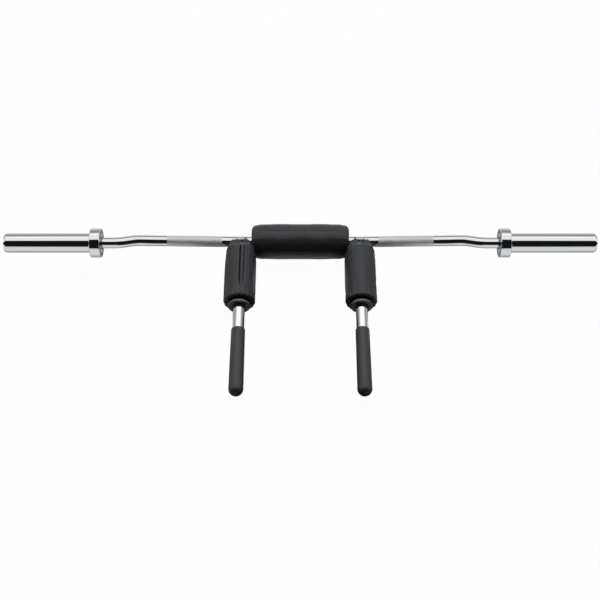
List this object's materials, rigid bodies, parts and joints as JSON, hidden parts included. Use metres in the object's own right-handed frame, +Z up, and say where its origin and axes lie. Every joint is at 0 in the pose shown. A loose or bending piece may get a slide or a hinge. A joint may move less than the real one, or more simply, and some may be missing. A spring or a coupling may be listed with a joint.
{
  "type": "safety squat bar",
  "caption": "Cambered chrome barbell with revolving sleeves, a padded yoke and padded handles that reach forward over the shoulders.",
  "frame": {"origin": "on the floor the bar rests on, under the middle of its outline seen from above (bounding box bottom centre)", "axes": "+X along the bar to the right-hand sleeve, the handles point to -Y, +Z up"},
  "size_m": [1.524, 0.5098, 0.1188],
  "materials": {
    "chrome_bar": "polished",
    "chrome_sleeve": "polished",
    "weld_steel": "satin",
    "spring_steel": "satin",
    "bush_bronze": "satin",
    "vinyl_cover": "satin",
    "foam_core": "matte",
    "hook_and_loop": "matte",
    "grip_rubber": "matte",
    "ring_rubber": "matte"
  },
  "bodies": {
    "frame": {"shaft": "chrome_bar", "left_handle_tube": "chrome_bar", "right_handle_tube": "chrome_bar", "left_weld_bead": "weld_steel", "right_weld_bead": "weld_steel", "centre_pad_foam": "foam_core", "centre_pad_cover": "vinyl_cover", "centre_pad_closure": "hook_and_loop", "left_pad_foam": "foam_core", "left_pad_cover": "vinyl_cover", "left_pad_closure": "hook_and_loop", "left_pad_stop_ring": "ring_rubber", "right_pad_foam": "foam_core", "right_pad_cover": "vinyl_cover", "right_pad_closure": "hook_and_loop", "right_pad_stop_ring": "ring_rubber", "left_grip": "grip_rubber", "right_grip": "grip_rubber", "left_snap_ring": "spring_steel", "right_snap_ring": "spring_steel"},
    "left_sleeve": {"left_sleeve": "chrome_sleeve", "left_collar": "chrome_sleeve", "left_inner_bush": "bush_bronze", "left_outer_bush": "bush_bronze", "left_thrust_washer": "spring_steel", "left_end_cap": "chrome_sleeve"},
    "right_sleeve": {"right_sleeve": "chrome_sleeve", "right_collar": "chrome_sleeve", "right_inner_bush": "bush_bronze", "right_outer_bush": "bush_bronze", "right_thrust_washer": "spring_steel", "right_end_cap": "chrome_sleeve"}
  },
  "joints": [
    {"name": "left_sleeve_spin", "type": "hinge", "parent": "frame", "child": "left_sleeve", "pos_m": [-0.63, 0.17562, 0.0813], "axis": [1, 0, 0], "continuous": true},
    {"name": "right_sleeve_spin", "type": "hinge", "parent": "frame", "child": "right_sleeve", "pos_m": [0.63, 0.17562, 0.0813], "axis": [1, 0, 0], "continuous": true}
  ]
}
